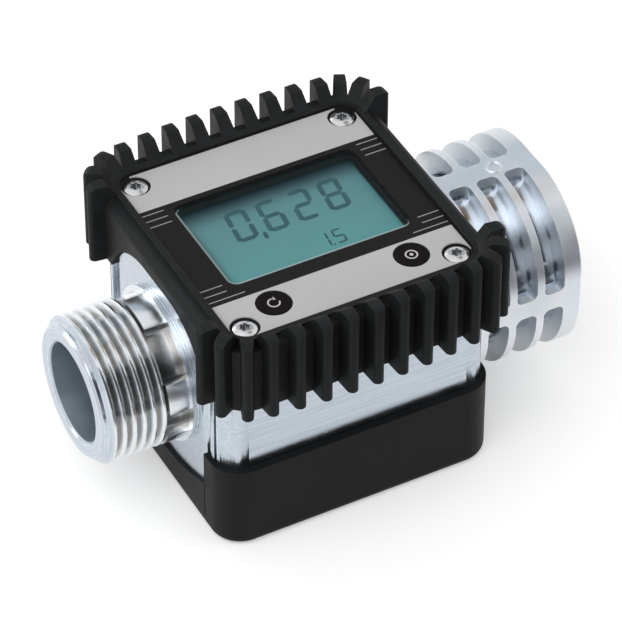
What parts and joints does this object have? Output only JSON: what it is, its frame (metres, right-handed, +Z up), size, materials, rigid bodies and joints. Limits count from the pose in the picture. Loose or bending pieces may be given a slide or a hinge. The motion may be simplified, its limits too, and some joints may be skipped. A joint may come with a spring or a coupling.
{
  "type": "digital flow meter",
  "caption": "Inline turbine flow meter with threaded ends, a digital display head in a finned rubber guard, and two front buttons",
  "frame": {"origin": "Centre of the lower cover's flat underside, under the middle of the display head; this face rests on a bench", "axes": "+X is the flow direction, inlet at -X and outlet at +X; -Y is the front with the two buttons; +Z is up, out of the display"},
  "size_m": [0.1116, 0.0764, 0.0612],
  "materials": {
    "cast_aluminium": "fine cast skin with machined faces",
    "black_plastic": "fine moulded texture",
    "white_plastic": "smooth moulded",
    "steel": "turned and polished",
    "bush_brass": "turned",
    "magnet": "plated",
    "gasket_rubber": "smooth",
    "guard_rubber": "satin moulded rubber",
    "board_green": "solder mask",
    "chip_black": "moulded",
    "lcd_glass": "reflective display cell",
    "clear_lens": "polished clear",
    "label_grey": "printed film",
    "lead_red": "insulated wire",
    "cell_jacket": "shrink sleeve"
  },
  "bodies": {
    "meter": {"meter_body": "cast_aluminium", "inlet_support": "black_plastic", "outlet_support": "black_plastic", "chamber_sleeve": "black_plastic", "rotor_shaft": "steel", "retaining_ring": "steel", "pulse_sensor": "black_plastic", "head_gasket": "gasket_rubber", "display_tray": "black_plastic", "finned_guard": "guard_rubber", "circuit_board": "board_green", "board_parts": "chip_black", "button_switches": "steel", "lcd_strips": "gasket_rubber", "lcd_panel": "lcd_glass", "window_lens": "clear_lens", "face_plate": "black_plastic", "face_label": "label_grey", "face_screws": "steel", "battery_leads": "lead_red", "battery_cells": "cell_jacket", "battery_contacts": "steel", "cover_gasket": "gasket_rubber", "lower_cover": "black_plastic", "cover_screws": "steel"},
    "rotor": {"turbine_rotor": "white_plastic", "rotor_bushes": "bush_brass", "rotor_magnets": "magnet"},
    "reset_key": {"reset_button": "black_plastic"},
    "cal_key": {"cal_button": "black_plastic"}
  },
  "joints": [
    {"name": "rotor_spin", "type": "hinge", "parent": "meter", "child": "rotor", "pos_m": [-0.002, 0, 0.0302], "axis": [1, 0, 0], "continuous": true},
    {"name": "reset_press", "type": "slide", "parent": "meter", "child": "reset_key", "axis": [0, 0, -1], "range_m": [0, 0.0005], "stiffness_N_per_m": 400, "springref_m": -0.002},
    {"name": "cal_press", "type": "slide", "parent": "meter", "child": "cal_key", "axis": [0, 0, -1], "range_m": [0, 0.0005], "stiffness_N_per_m": 400, "springref_m": -0.002}
  ]
}
